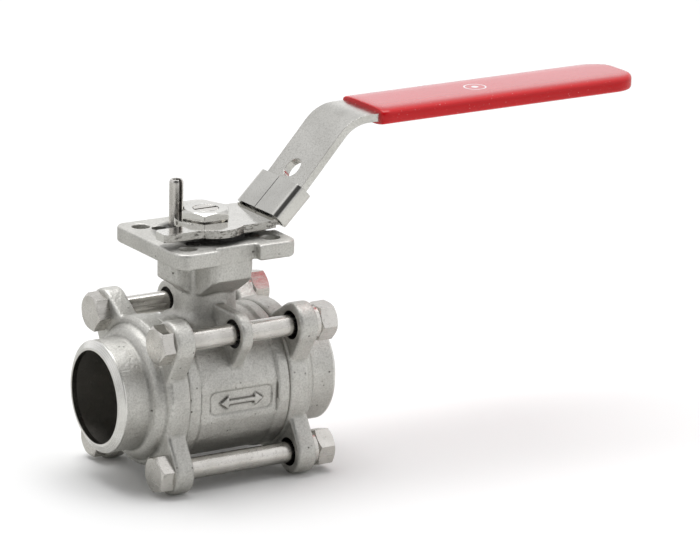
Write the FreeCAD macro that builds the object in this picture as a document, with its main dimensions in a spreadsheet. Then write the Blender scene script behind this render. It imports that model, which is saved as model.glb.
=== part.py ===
"""Three-piece ball valve with weld ends, an actuator pad and a locking lever.

Frame: origin at the centre of the ball, X along the pipe, Z up the stem, millimetres.
The valve stands open: the lever points to +X, along the pipe.
"""
import FreeCAD, Part
import math
import os
import re
import Sketcher

DOC = FreeCAD.newDocument("ball_valve")
SHEET = DOC.addObject("Spreadsheet::Sheet", "dims")

DIMS = {
    # flow path
    "port_radius": 16.0,
    "ball_radius": 23.0,
    "ball_clearance": 0.06,
    "slot_width": 8.0,
    "slot_floor": 18.6,
    # weld ends and caps
    "weld_face": 46.8,
    "weld_radius": 21.2,
    "weld_bore": 17.55,
    "land_width": 1.0,
    "bevel_length": 1.7,
    "neck_fillet": 4.2,
    "flange_face": 30.2,
    "flange_radius": 28.2,
    "flange_round": 1.1,
    "joint_face": 21.55,
    "lug_face": 22.4,
    "bolt_offset": 24.8,
    "lug_radius": 8.5,
    "flank_angle": 33.0,
    "web_near": 8.5,
    "web_far": 18.3,
    "lug_hole": 5.2,
    "hole_chamfer": 0.3,
    "spigot_face": 18.5,
    "spigot_radius": 23.4,
    # body centre
    "cavity_radius": 23.5,
    "ring_radius": 27.7,
    "ring_inner": 16.95,
    "body_radius": 27.0,
    "gasket_seat": 19.5,
    "gasket_radius": 25.2,
    "facet_depth": 0.85,
    "facet_tilt": 2.4,
    "panel_depth": 0.45,
    "panel_half": 13.6,
    "panel_height": 9.7,
    "panel_shift": 1.2,
    "ear_half": 2.35,
    "ear_radius": 8.0,
    "ear_hole": 5.25,
    "ear_top": 32.8,
    # neck and actuator pad
    "neck_radius": 11.6,
    "neck_flare": 6.0,
    "rib_half": 8.5,
    "rib_reach": 22.1,
    "rib_foot": 44.5,
    "rib_round": 3.5,
    "side_rib_half": 6.2,
    "side_rib_reach": 18.4,
    "side_rib_foot": 42.0,
    "rib_root": 36.8,
    "pad_half_length": 25.2,
    "pad_half_width": 26.0,
    "pad_top": 57.7,
    "pad_thickness": 6.2,
    "pad_corner": 5.0,
    "pad_edge": 0.7,
    "notch_half": 8.5,
    "notch_depth": 3.6,
    "wide_circle": 25.0,
    "wide_hole": 3.5,
    "narrow_circle": 18.0,
    "narrow_hole": 2.75,
    # stem and its sealing
    "stem_radius": 6.5,
    "stem_bore": 6.58,
    "shoulder_radius": 8.8,
    "shoulder_foot": 24.4,
    "shoulder_top": 27.0,
    "thrust_top": 28.5,
    "ring_groove": 31.4,
    "ring_section": 1.3,
    "box_radius": 9.0,
    "box_floor": 36.0,
    "packing_height": 2.6,
    "gland_height": 4.0,
    "gland_nut_height": 5.5,
    "square_half": 4.5,
    "square_round": 5.7,
    "thread_radius": 5.0,
    "stem_top": 66.9,
    "slit_width": 1.3,
    "slit_depth": 1.2,
    # lever
    "plate_thickness": 3.0,
    "lever_top": 63.4,
    "strip_half": 12.5,
    "incline_angle": 48.4,
    "lower_bend": 24.7,
    "upper_bend": 55.5,
    "upper_top": 98.0,
    "inner_radius": 2.5,
    "outer_radius": 16.3,
    "grip_rise": 0.45,
    "strip_end": 184.0,
    "strip_round": 9.0,
    "tab_end": 26.4,
    "tab_front": 16.2,
    "tab_back": 7.6,
    "hub_radius": 11.8,
    "lobe_front": 17.3,
    "lobe_arc": 12.0,
    "lobe_back": 23.6,
    "stop_edge": 1.6,
    "padlock_radius": 4.1,
    "padlock_place": 19.4,
    "stem_nut_flats": 17.0,
    "stem_nut_height": 3.0,
    "stem_nut_turn": 2.3,
    "stem_washer_radius": 7.4,
    "stem_washer_height": 0.5,
    # grip sleeve and lock slide
    "grip_start": 68.0,
    "grip_end": 187.9,
    "grip_half": 14.8,
    "grip_wall": 1.85,
    "grip_corner": 11.0,
    "grip_round": 2.2,
    "slide_low": -1.65,
    "slide_length": 15.0,
    "slide_pitch": 3.6,
    "slide_wall": 1.15,
    "slide_half": 14.3,
    "slide_gap": 1.1,
    "slide_headroom": 1.8,
    "slide_round": 2.6,
    "tongue_half": 6.5,
    "tongue_length": 0.8,
    "seam_place": -0.05,
    "seam_width": 0.4,
    # stop pin
    "pin_radius": 2.65,
    "pin_bore": 1.5,
    "pin_x": -4.6,
    "pin_y": 14.1,
    "pin_foot": 52.2,
    "pin_top": 75.2,
    "pin_slit": 1.3,
    "pin_slit_turn": -95.0,
    # fasteners
    "bolt_radius": 4.0,
    "bolt_flats": 13.0,
    "head_height": 5.3,
    "bolt_end": 40.6,
    "washer_radius": 6.4,
    "washer_thickness": 2.2,
    "nut_height": 7.2,
}
for row, (alias, number) in enumerate(DIMS.items(), start=1):
    SHEET.set(f"A{row}", alias)
    SHEET.set(f"B{row}", str(number))
    SHEET.setAlias(f"B{row}", alias)
DOC.recompute()

X_AXIS = FreeCAD.Vector(1, 0, 0)
Y_AXIS = FreeCAD.Vector(0, 1, 0)
Z_AXIS = FreeCAD.Vector(0, 0, 1)
NODES = []


# ---------------------------------------------------------------- helpers
def link(text):
    """Write an expression with every alias pointing at the spreadsheet."""
    return re.sub(r"[a-z]+(_[a-z]+)+", lambda word: "dims." + word.group(0), str(text))


def number(text):
    """The present value of an expression of aliases."""
    found = SHEET.evalExpression(link(text))
    return float(getattr(found, "Value", found))


def bind(thing, **sizes):
    """Tie properties of an object to the spreadsheet."""
    for name, text in sizes.items():
        thing.setExpression(name, link(text))
    return thing


def put(thing, x=None, y=None, z=None):
    """Tie an object's position to the spreadsheet."""
    for name, text in (("x", x), ("y", y), ("z", z)):
        if text is not None:
            thing.setExpression("Placement.Base." + name, link(text))
    return thing


def node(thing, label):
    """Name an object as one of the valve's pieces."""
    thing.Label = label
    NODES.append(thing)
    return thing


def box(name, x, y, z):
    """A block between pairs of coordinates."""
    block = DOC.addObject("Part::Box", name)
    bind(block, Length=f"({x[1]})-({x[0]})", Width=f"({y[1]})-({y[0]})", Height=f"({z[1]})-({z[0]})")
    return put(block, x[0], y[0], z[0])


def rod(name, radius, start, end, axis="Z", place=("0", "0")):
    """A cylinder along Z at (x, y), or along X at (y, z)."""
    tube = DOC.addObject("Part::Cylinder", name)
    bind(tube, Radius=radius, Height=f"({end})-({start})")
    if axis == "Z":
        return put(tube, place[0], place[1], start)
    tube.Placement.Rotation = FreeCAD.Rotation(Z_AXIS, X_AXIS)
    return put(tube, start, place[0], place[1])


def fuse(name, parts):
    joined = DOC.addObject("Part::MultiFuse", name)
    joined.Shapes = parts
    joined.Refine = True
    return joined


def cut(name, base, tool):
    rest = DOC.addObject("Part::Cut", name)
    rest.Base = base
    rest.Tool = tool
    return rest


def common(name, one, other):
    shared = DOC.addObject("Part::Common", name)
    shared.Base = one
    shared.Tool = other
    return shared


def arc_through(start, end, radius):
    """An arc of a signed radius: positive bulges to the left of the way from start to end."""
    chord = end - start
    half = chord.Length / 2
    size = abs(radius)
    rise = size - math.sqrt(max(size * size - half * half, 0.0))
    left = FreeCAD.Vector(-chord.y, chord.x, 0).normalize()
    middle = (start + end) * 0.5 + left * math.copysign(rise, radius)
    if radius > 0:
        return Part.Arc(end, middle, start)
    return Part.Arc(start, middle, end)


def outline(sketch, points, arcs=None):
    """Draw a closed outline whose corners follow expressions; arcs maps a side to its signed radius."""
    arcs = arcs or {}
    places = [FreeCAD.Vector(number(x), number(y), 0) for x, y in points]
    count = len(points)
    first = sketch.GeometryCount
    reverse = []
    for side in range(count):
        start = places[side]
        end = places[(side + 1) % count]
        if side in arcs:
            radius = number(arcs[side])
            sketch.addGeometry(arc_through(start, end, radius))
            reverse.append(radius > 0)
        else:
            sketch.addGeometry(Part.LineSegment(start, end))
            reverse.append(False)
    for side in range(count):
        here = first + side
        after = first + (side + 1) % count
        tail = 1 if reverse[side] else 2
        head = 2 if reverse[(side + 1) % count] else 1
        sketch.addConstraint(Sketcher.Constraint("Coincident", here, tail, after, head))
    for side, (x, y) in enumerate(points):
        here = first + side
        head = 2 if reverse[side] else 1
        for kind, text, place in (("DistanceX", x, places[side].x), ("DistanceY", y, places[side].y)):
            index = sketch.addConstraint(Sketcher.Constraint(kind, -1, 1, here, head, place))
            sketch.setExpression(f"Constraints[{index}]", link(text))
    for side, radius in arcs.items():
        index = sketch.addConstraint(Sketcher.Constraint("Radius", first + side, abs(number(radius))))
        sketch.setExpression(f"Constraints[{index}]", link(f"abs({radius})"))


def sketched(name, plane, points, arcs=None):
    """A PartDesign body with one sketch on one of its own planes."""
    body = DOC.addObject("PartDesign::Body", name)
    sketch = body.newObject("Sketcher::SketchObject", name + "_sketch")
    base = [item for item in body.Origin.OriginFeatures if item.Role == plane][0]
    sketch.AttachmentSupport = [(base, "")]
    sketch.MapMode = "FlatFace"
    outline(sketch, points, arcs)
    return body, sketch


def turned(name, axis, points, arcs=None):
    """A body turned about Z from (x, z) points, or about X from (x, radius) points."""
    plane = "XZ_Plane" if axis == "Z" else "XY_Plane"
    body, sketch = sketched(name, plane, points, arcs)
    turn = body.newObject("PartDesign::Revolution", name + "_turn")
    turn.Profile = sketch
    turn.ReferenceAxis = (sketch, ["V_Axis" if axis == "Z" else "H_Axis"])
    turn.Angle = 360
    return body


def extruded(name, plane, points, length, arcs=None):
    """A body padded to both sides of one of its planes."""
    body, sketch = sketched(name, plane, points, arcs)
    pad = body.newObject("PartDesign::Pad", name + "_pad")
    pad.Profile = sketch
    pad.Midplane = True
    bind(pad, Length=length)
    return body


def rounded(name, base, radius, wanted):
    """Round the edges of a shape that a test picks by their middle point and direction."""
    DOC.recompute()
    soft = DOC.addObject("Part::Fillet", name)
    soft.Base = base
    size = number(radius)
    picked = []
    for index, edge in enumerate(base.Shape.Edges, start=1):
        middle = edge.valueAt((edge.FirstParameter + edge.LastParameter) / 2)
        way = edge.tangentAt((edge.FirstParameter + edge.LastParameter) / 2)
        if wanted(edge, middle, way):
            picked.append((index, size, size))
    soft.Edges = picked
    return soft


def ring(label, axis, inner, outer, start, end):
    """A plain ring, named as a piece."""
    if axis == "Z":
        points = [(inner, start), (outer, start), (outer, end), (inner, end)]
    else:
        points = [(start, inner), (end, inner), (end, outer), (start, outer)]
    return node(turned(label, axis, points), label)


# ---------------------------------------------------------------- end caps
FLANK_COS = "cos(flank_angle * 1 deg)"
FLANK_SIN = "sin(flank_angle * 1 deg)"


def lug_web(name, radius, start, end):
    """The web that carries a lug, with its straight flanks, between two planes across the pipe."""
    near = f"bolt_offset + {radius} * {FLANK_COS}"
    far = f"bolt_offset - {radius} * {FLANK_SIN}"
    foot_wide = "flange_radius * cos(22.5 deg)"
    foot_low = "flange_radius * sin(22.5 deg)"
    body, sketch = sketched(name, "YZ_Plane", [
        (near, far), (foot_wide, foot_low), ("web_far", "web_near"), ("web_near", "web_far"),
        (foot_low, foot_wide), (far, near), ("bolt_offset", "bolt_offset")])
    pad = body.newObject("PartDesign::Pad", name + "_pad")
    pad.Profile = sketch
    bind(pad, Length=f"({end})-({start})")
    return put(body, start)


def end_cap(label, turned_round):
    """Weld tube, flange and four lugs; the far cap is the same casting turned round."""
    core = turned(label + "_core", "X", [
        ("spigot_face", "spigot_radius"), ("spigot_face", "21"), ("21", "21"), ("21", "port_radius"),
        ("24.5", "port_radius"), ("27", "weld_bore"), ("weld_face", "weld_bore"),
        ("weld_face", "weld_bore + land_width"), ("weld_face - bevel_length", "weld_radius"),
        ("flange_face + neck_fillet", "weld_radius"), ("flange_face", "weld_radius + neck_fillet"),
        ("flange_face", "flange_radius - flange_round"), ("flange_face - flange_round", "flange_radius"),
        ("joint_face + 0.5", "flange_radius"), ("joint_face", "flange_radius - 0.5"),
        ("joint_face", "spigot_radius")],
        {9: "0 - neck_fillet", 11: "flange_round"})
    quarter = fuse(label + "_lug", [
        rod(label + "_lug_end", "lug_radius", "lug_face", "flange_face", "X", ("bolt_offset", "bolt_offset")),
        lug_web(label + "_lug_web", "lug_radius", "lug_face", "flange_face")])
    lug = rounded(label + "_lug_soft", quarter, "flange_round", lambda edge, middle, way:
                  abs(way.x) < 0.05 and middle.y + middle.z > 38)
    hole = cut(label + "_lug_drilled", lug,
               rod(label + "_hole", "lug_hole", "lug_face - 1", "flange_face + 1", "X",
                   ("bolt_offset", "bolt_offset")))
    mouth = DOC.addObject("Part::Cone", label + "_hole_mouth")
    bind(mouth, Radius1="lug_hole + hole_chamfer", Radius2="lug_hole", Height="hole_chamfer")
    mouth.Placement.Rotation = FreeCAD.Rotation(Z_AXIS, X_AXIS)
    put(mouth, "lug_face", "bolt_offset", "bolt_offset")
    first = cut(label + "_lug_whole", hole, mouth)
    lugs = [first]
    for step in (1, 2, 3):
        copy = DOC.addObject("Part::Compound", f"{label}_lug_{step}")
        copy.Links = [first]
        copy.Placement = FreeCAD.Placement(FreeCAD.Vector(), FreeCAD.Rotation(X_AXIS, 90 * step))
        lugs.append(copy)
    cap = fuse(label, [core] + lugs)
    if turned_round:
        cap.Placement = FreeCAD.Placement(FreeCAD.Vector(), FreeCAD.Rotation(Z_AXIS, 180))
    return node(cap, label)


end_cap("right_end_cap", False)
end_cap("left_end_cap", True)


# ---------------------------------------------------------------- body centre
def on_facet(thing, along, out, up):
    """Lay a block on the barrel's front flat: along the pipe, out from the pipe's axis, and up the flat."""
    thing.Placement.Rotation = FreeCAD.Rotation(X_AXIS, number("facet_tilt"))
    turn = "(facet_tilt * 1 deg)"
    return put(thing, along, f"0 - ({out}) * cos{turn} - ({up}) * sin{turn}",
               f"({up}) * cos{turn} - ({out}) * sin{turn}")


def body_barrel():
    """The barrel between the caps, with a raised ring at each end and a flat for the mark panel."""
    barrel = turned("barrel", "X", [
        ("0 - joint_face", "gasket_radius"), ("0 - gasket_seat", "gasket_radius"),
        ("0 - gasket_seat", "cavity_radius"), ("gasket_seat", "cavity_radius"),
        ("gasket_seat", "gasket_radius"), ("joint_face", "gasket_radius"),
        ("joint_face", "ring_radius - 0.5"), ("joint_face - 0.5", "ring_radius"),
        ("ring_inner", "ring_radius"), ("ring_inner - 0.7", "body_radius"),
        ("0.7 - ring_inner", "body_radius"), ("0 - ring_inner", "ring_radius"),
        ("0.5 - joint_face", "ring_radius"), ("0 - joint_face", "ring_radius - 0.5")])
    flat = box("facet_block", ("0 - ring_inner + 0.3", "ring_inner - 0.3"), ("0", "4"), ("0", "22"))
    on_facet(flat, "0.3 - ring_inner", "body_radius - facet_depth + 4", "0 - 11")
    panel = box("panel_block", ("0 - panel_half", "panel_half"), ("0", "2"), ("0", "panel_height"))
    on_facet(panel, "panel_shift - panel_half", "body_radius - facet_depth - panel_depth + 2",
             "0 - panel_height / 2")
    soft_panel = rounded("panel_soft", panel, "2.5", lambda edge, middle, way: abs(way.y) > 0.9)
    return cut("barrel_marked", cut("barrel_flat", barrel, flat), soft_panel)


def flow_mark():
    """A raised double arrow: the valve passes flow both ways."""
    mark, sketch = sketched("flow_mark", "XZ_Plane", [
        ("0 - 9", "0"), ("0 - 5.6", "0 - 2.4"), ("0 - 5.6", "0 - 0.7"), ("5.6", "0 - 0.7"),
        ("5.6", "0 - 2.4"), ("9", "0"), ("5.6", "2.4"), ("5.6", "0.7"), ("0 - 5.6", "0.7"),
        ("0 - 5.6", "2.4")])
    pad = mark.newObject("PartDesign::Pad", "flow_mark_pad")
    pad.Profile = sketch
    bind(pad, Length="1.2")
    return on_facet(mark, "panel_shift", "body_radius - facet_depth - panel_depth - 0.25", "0")


def ear(name, side):
    """A drilled ear on the body that an upper bolt passes through."""
    sign = "" if side > 0 else "0 - "
    tip = f"bolt_offset + ear_radius * {FLANK_COS}"
    plate = fuse(name + "_plate", [
        rod(name + "_tip", "ear_radius", "0 - ear_half", "ear_half", "X",
            (f"{sign}bolt_offset", "bolt_offset")),
        extruded(name + "_web", "YZ_Plane", [
            (f"{sign}({tip})", f"bolt_offset - ear_radius * {FLANK_SIN}"), (f"{sign}24.2", "11"),
            (f"{sign}8", "22"), (f"{sign}8", "ear_top"), (f"{sign}bolt_offset", "ear_top"),
            (f"{sign}bolt_offset", "bolt_offset")], "2 * ear_half")])
    soft = rounded(name + "_soft", plate, "0.8", lambda edge, middle, way:
                   abs(way.x) < 0.05 and abs(middle.x) > 2 and (middle.z > 32 or abs(middle.y) > 25.5))
    return soft


def rib(name, reach, half, foot, quarter_turns):
    """A bracket under the pad: upright face, then an underside that runs back to the neck."""
    web = extruded(name + "_web", "XZ_Plane", [
        ("0", "rib_root"), ("0", "pad_top - 3"), (reach, "pad_top - 3"), (reach, foot),
        ("neck_radius - 1", "rib_root")], f"2 * {half}")
    soft = rounded(name, web, "rib_round", lambda edge, middle, way:
                   abs(way.z) > 0.9 and middle.x > 15)
    soft.Placement = FreeCAD.Placement(FreeCAD.Vector(), FreeCAD.Rotation(Z_AXIS, 90 * quarter_turns))
    return soft


def pad_plate():
    """The actuator mounting pad with its two lock notches."""
    plate = box("pad_block", ("0 - pad_half_length", "pad_half_length"),
                ("0 - pad_half_width", "pad_half_width"), ("pad_top - pad_thickness", "pad_top"))
    soft = rounded("pad_soft", plate, "pad_corner", lambda edge, middle, way: abs(way.z) > 0.9)
    top = ("pad_top - pad_thickness - 1", "pad_top + 1")
    notches = [box("closed_notch", ("0 - notch_half", "notch_half"),
                   ("0 - pad_half_width - 1", "notch_depth - pad_half_width"), top),
               box("open_notch", ("pad_half_length - notch_depth", "pad_half_length + 1"),
                   ("0 - notch_half", "notch_half"), top)]
    notched = cut("pad_notched", soft, fuse("notches", notches))
    return rounded("pad_eased", notched, "pad_edge", lambda edge, middle, way: abs(way.z) < 0.05)


def bolt_circle_holes():
    """Both bolt circles of the pad, four holes each, on its diagonals."""
    holes = []
    for name, circle, hole in (("wide", "wide_circle", "wide_hole"),
                               ("narrow", "narrow_circle", "narrow_hole")):
        for index, (sx, sy) in enumerate(((1, 1), (-1, 1), (-1, -1), (1, -1))):
            place = (f"{sx} * {circle} / sqrt(2)", f"{sy} * {circle} / sqrt(2)")
            holes.append(rod(f"{name}_hole_{index}", hole, "pad_top - pad_thickness - 8", "pad_top + 1",
                             "Z", place))
    return holes


def body_centre():
    neck = turned("neck", "Z", [
        ("0", "15"), ("neck_radius + neck_flare", "15"), ("neck_radius + neck_flare", "body_radius - 2.5"),
        ("neck_radius", "body_radius - 2.5 + neck_flare"), ("neck_radius", "pad_top - 2"),
        ("0", "pad_top - 2")],
        {2: "neck_flare"})
    ribs = [rib("front_rib", "rib_reach", "rib_half", "rib_foot", -1),
            rib("back_rib", "rib_reach", "rib_half", "rib_foot", 1),
            rib("left_rib", "side_rib_reach", "side_rib_half", "side_rib_foot", 2),
            rib("right_rib", "side_rib_reach", "side_rib_half", "side_rib_foot", 0)]
    solid = fuse("body_blank", [neck, pad_plate(), ear("front_ear", -1), ear("back_ear", 1)] + ribs)
    bores = [rod("cavity", "cavity_radius", "0 - joint_face", "joint_face", "X"),
             rod("shoulder_bore", "box_radius", "10", "thrust_top"),
             rod("stem_hole", "stem_bore", "20", "pad_top"),
             rod("stuffing_box", "box_radius + 0.05", "box_floor", "pad_top + 1"),
             rod("pin_hole", "pin_radius", "pin_foot", "pad_top + 1", "Z", ("pin_x", "pin_y"))]
    for name, sign in (("front", "0 - "), ("back", "")):
        bores.append(rod(f"{name}_ear_hole", "ear_hole", "0 - 4", "4", "X",
                         (f"{sign}bolt_offset", "bolt_offset")))
    shell = fuse("body_shell", [solid, body_barrel()])
    bored = cut("body_bored", shell, fuse("body_bores", bores + bolt_circle_holes()))
    return node(fuse("body_center", [bored, flow_mark()]), "body_center")


body_centre()


# ---------------------------------------------------------------- ball, seats and gaskets
def flow_ball():
    sphere = bind(DOC.addObject("Part::Sphere", "ball_sphere"), Radius="ball_radius")
    bored = cut("ball_bored", sphere, rod("ball_bore", "port_radius", "0 - 30", "30", "X"))
    slot = box("ball_slot", ("0 - slot_width / 2", "slot_width / 2"), ("0 - 30", "30"), ("slot_floor", "30"))
    return node(cut("ball", bored, slot), "ball")


def seat_ring(label, sign):
    """A soft ring whose inner face is hollowed to the ball."""
    blank = turned(label + "_blank", "X", [
        (f"{sign} * 14.4", "19.4"), (f"{sign} * 14.4", "16.4"), (f"{sign} * 20.9", "16.4"),
        (f"{sign} * 20.9", "20.9"), (f"{sign} * 16", "20.9")])
    hollow = bind(DOC.addObject("Part::Sphere", label + "_hollow"), Radius="ball_radius + ball_clearance")
    return node(cut(label, blank, hollow), label)


flow_ball()
seat_ring("seat_ring_right", 1)
seat_ring("seat_ring_left", -1)
ring("body_gasket_right", "X", "spigot_radius + 0.12", "gasket_radius - 0.05", "gasket_seat", "joint_face")
ring("body_gasket_left", "X", "spigot_radius + 0.12", "gasket_radius - 0.05",
     "0 - joint_face", "0 - gasket_seat")


# ---------------------------------------------------------------- stem and its sealing
def stem():
    """Blow-out-proof stem: tang, shoulder, shaft, square and threaded end."""
    shaft = turned("stem_shaft", "Z", [
        ("0", "shoulder_foot"), ("shoulder_radius - 0.1", "shoulder_foot"),
        ("shoulder_radius - 0.1", "shoulder_top"), ("stem_radius", "shoulder_top"),
        ("stem_radius", "ring_groove - ring_section"), ("stem_radius - 1.9", "ring_groove - ring_section"),
        ("stem_radius - 1.9", "ring_groove + ring_section"), ("stem_radius", "ring_groove + ring_section"),
        ("stem_radius", "lever_top - plate_thickness"), ("square_round", "lever_top - plate_thickness"),
        ("square_round", "lever_top"), ("thread_radius", "lever_top"),
        ("thread_radius", "stem_top - 0.4"), ("thread_radius - 0.4", "stem_top"), ("0", "stem_top")])
    flats = fuse("stem_flats", [
        box("stem_square", ("0 - square_half", "square_half"), ("0 - square_half", "square_half"),
            ("lever_top - plate_thickness - 0.5", "stem_top + 1")),
        rod("stem_round_part", "shoulder_radius", "20", "lever_top - plate_thickness")])
    tang = common("stem_tang",
                  box("tang_block", ("0.12 - slot_width / 2", "slot_width / 2 - 0.12"), ("0 - 12", "12"),
                      ("slot_floor + 0.15", "shoulder_foot + 0.2")),
                  rod("tang_round", "shoulder_radius - 0.1", "10", "30"))
    slit = box("stem_slit", ("0 - 8", "8"), ("0 - slit_width / 2", "slit_width / 2"),
               ("stem_top - slit_depth", "stem_top + 1"))
    trimmed = common("stem_trimmed", shaft, flats)
    return node(cut("stem", fuse("stem_blank", [trimmed, tang]), slit), "stem")


stem()
ring("stem_thrust_washer", "Z", "stem_radius + 0.06", "box_radius - 0.05",
     "shoulder_top + 0.05", "thrust_top")
o_ring = bind(DOC.addObject("Part::Torus", "stem_o_ring"),
              Radius1="stem_radius - 0.95", Radius2="0.95")
put(o_ring, z="ring_groove")
node(o_ring, "stem_o_ring")

for index, label in enumerate(("packing_ring_lower", "packing_ring_middle", "packing_ring_upper")):
    foot = f"box_floor + {index} * packing_height"
    crown = f"box_floor + {index + 1} * packing_height"
    veed = turned(label, "Z", [
        ("stem_radius + 0.05", foot), ("(stem_radius + box_radius) / 2", f"{foot} + 0.7"),
        ("box_radius", foot),
        ("box_radius", crown), (f"(stem_radius + box_radius) / 2", f"{crown} + 0.7"),
        ("stem_radius + 0.05", crown)])
    node(veed, label)

PACKING_TOP = "(box_floor + 3 * packing_height)"
gland_points = [("stem_radius + 0.05", PACKING_TOP),
                ("(stem_radius + box_radius) / 2", PACKING_TOP + " + 0.7"),
                ("box_radius", PACKING_TOP), ("box_radius", PACKING_TOP + " + gland_height"),
                ("stem_radius + 0.05", PACKING_TOP + " + gland_height")]
node(turned("gland_ring", "Z", gland_points), "gland_ring")
SPRING_FOOT = f"({PACKING_TOP} + gland_height)"


def disc_spring(label, foot, cupped_up):
    """A coned washer; a pair stands rim to rim."""
    low, high = ("0", "0.6") if cupped_up else ("0.6", "0")
    points = [("stem_radius + 0.3", f"{foot} + {low}"), ("box_radius - 0.1", f"{foot} + {high}"),
              ("box_radius - 0.1", f"{foot} + {high} + 0.7"), ("stem_radius + 0.3", f"{foot} + {low} + 0.7")]
    return node(turned(label, "Z", points), label)


disc_spring("disc_spring_lower", SPRING_FOOT, True)
disc_spring("disc_spring_upper", f"({SPRING_FOOT} + 1.3)", False)
NUT_FOOT = f"({SPRING_FOOT} + 2.65)"


def gland_nut():
    """Screwed into the stuffing box, with two spanner slots in its top."""
    blank = turned("gland_nut_blank", "Z", [
        ("stem_radius + 0.25", NUT_FOOT), ("box_radius", NUT_FOOT),
        ("box_radius", NUT_FOOT + " + gland_nut_height"),
        ("stem_radius + 0.25", NUT_FOOT + " + gland_nut_height")])
    slots = box("gland_slots", ("0 - 1.2", "1.2"), ("0 - 12", "12"),
                (NUT_FOOT + " + gland_nut_height - 1.8", NUT_FOOT + " + gland_nut_height + 1"))
    return node(cut("gland_nut", blank, slots), "gland_nut")


gland_nut()


# ---------------------------------------------------------------- stop pin
def stop_pin():
    """A slotted spring pin that limits the lever to a quarter turn."""
    wall = turned("pin_wall", "Z", [
        ("pin_bore", "pin_foot + 0.1"), ("pin_radius - 0.5", "pin_foot + 0.1"),
        ("pin_radius", "pin_foot + 1.5"),
        ("pin_radius", "pin_top - 0.9"), ("pin_radius - 0.45", "pin_top"), ("pin_bore", "pin_top")])
    put(wall, "pin_x", "pin_y")
    slit = box("pin_slit_block", ("0", "5"), ("0 - pin_slit / 2", "pin_slit / 2"),
               ("pin_foot - 1", "pin_top + 1"))
    slit.Placement.Rotation = FreeCAD.Rotation(Z_AXIS, DIMS["pin_slit_turn"])
    put(slit, "pin_x", "pin_y", "pin_foot - 1")
    return node(cut("stop_pin", wall, slit), "stop_pin")


stop_pin()


# ---------------------------------------------------------------- lever
INCLINE = "(incline_angle * 1 deg)"
RISE = "(grip_rise * 1 deg)"


def bend_points(drop):
    """The corners of the lever's side view, at a depth below its upper face, from left to right."""
    base = f"(lever_top - {drop})"
    low_x = f"(lower_bend + {drop} * tan(incline_angle * 0.5 deg))"
    high_x = f"(upper_bend + {drop} * tan((incline_angle + grip_rise) * 0.5 deg))"
    high_z = f"(upper_top - {drop})"
    low_turn = f"((inner_radius + {drop}) * tan(incline_angle * 0.5 deg))"
    high_turn = f"((outer_radius - {drop}) * tan((incline_angle - grip_rise) * 0.5 deg))"
    return [
        ("0 - tab_end - 1", base), (f"{low_x} - {low_turn}", base),
        (f"{low_x} + {low_turn} * cos{INCLINE}", f"{base} + {low_turn} * sin{INCLINE}"),
        (f"{high_x} - {high_turn} * cos{INCLINE}", f"{high_z} - {high_turn} * sin{INCLINE}"),
        (f"{high_x} + {high_turn} * cos{RISE}", f"{high_z} + {high_turn} * sin{RISE}"),
        ("strip_end + 2", f"{high_z} + (strip_end + 2 - {high_x}) * tan{RISE}")]


def lever():
    """Three millimetre plate, bent twice, with a stop tab, lobes, a square hole and a padlock hole."""
    upper = bend_points("0")
    lower = bend_points("plate_thickness")
    side = extruded("lever_side", "XZ_Plane", lower + upper[::-1], "2 * lobe_back + 2", {
        1: "0 - inner_radius - plate_thickness", 3: "outer_radius - plate_thickness",
        7: "0 - outer_radius", 9: "inner_radius"})
    hub_low = "sqrt(hub_radius ^ 2 - tab_back ^ 2)"
    hub_high = "sqrt(hub_radius ^ 2 - stop_edge ^ 2)"
    plan, sketch = sketched("lever_plan", "XY_Plane", [
        ("lower_bend + 1", "0 - strip_half"), ("strip_end - strip_round", "0 - strip_half"),
        ("strip_end", "strip_round - strip_half"), ("strip_end", "strip_half - strip_round"),
        ("strip_end - strip_round", "strip_half"), ("15.9", "strip_half"), ("13", "lobe_back - 4.4"),
        ("8.6", "lobe_back"), ("0 - stop_edge", "lobe_back"), ("0 - stop_edge", hub_high),
        (f"0 - {hub_low}", "0 - tab_back"), ("1.5 - tab_end", "0 - tab_back"),
        ("0 - tab_end", "0 - tab_back - 1.5"),
        ("0 - tab_end", "1 - tab_front"), ("1 - tab_end", "0 - tab_front"), ("0 - 10.3", "0 - tab_front"),
        ("0 - 9.8", "0 - lobe_front"), ("5.6", "0 - lobe_front - 0.2"), ("6.6", "0 - 16.8"),
        ("16", "0 - 16.6"),
        ("21.2", "0 - 15.6"), ("22.1", "0 - strip_half - 0.4")],
        {1: "0 - strip_round", 3: "0 - strip_round", 6: "0 - 5", 9: "0 - hub_radius", 16: "0 - lobe_arc"})
    pad = plan.newObject("PartDesign::Pad", "lever_plan_pad")
    pad.Profile = sketch
    bind(pad, Length="70")
    put(plan, z="40")
    blank = common("lever_blank", side, plan)
    square = box("lever_square", ("0 - square_half - 0.05", "square_half + 0.05"),
                 ("0 - square_half - 0.05", "square_half + 0.05"), ("50", "70"))
    padlock = bind(DOC.addObject("Part::Cylinder", "padlock_hole"), Radius="padlock_radius", Height="20")
    padlock.Placement.Rotation = FreeCAD.Rotation(Y_AXIS, -number("incline_angle"))
    put(padlock, f"lower_bend + padlock_place * cos{INCLINE} + 10 * sin{INCLINE}", "0.2",
        f"lever_top + padlock_place * sin{INCLINE} - 10 * cos{INCLINE}")
    return node(cut("lever", blank, fuse("lever_holes", [square, padlock])), "lever")


lever()


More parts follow.
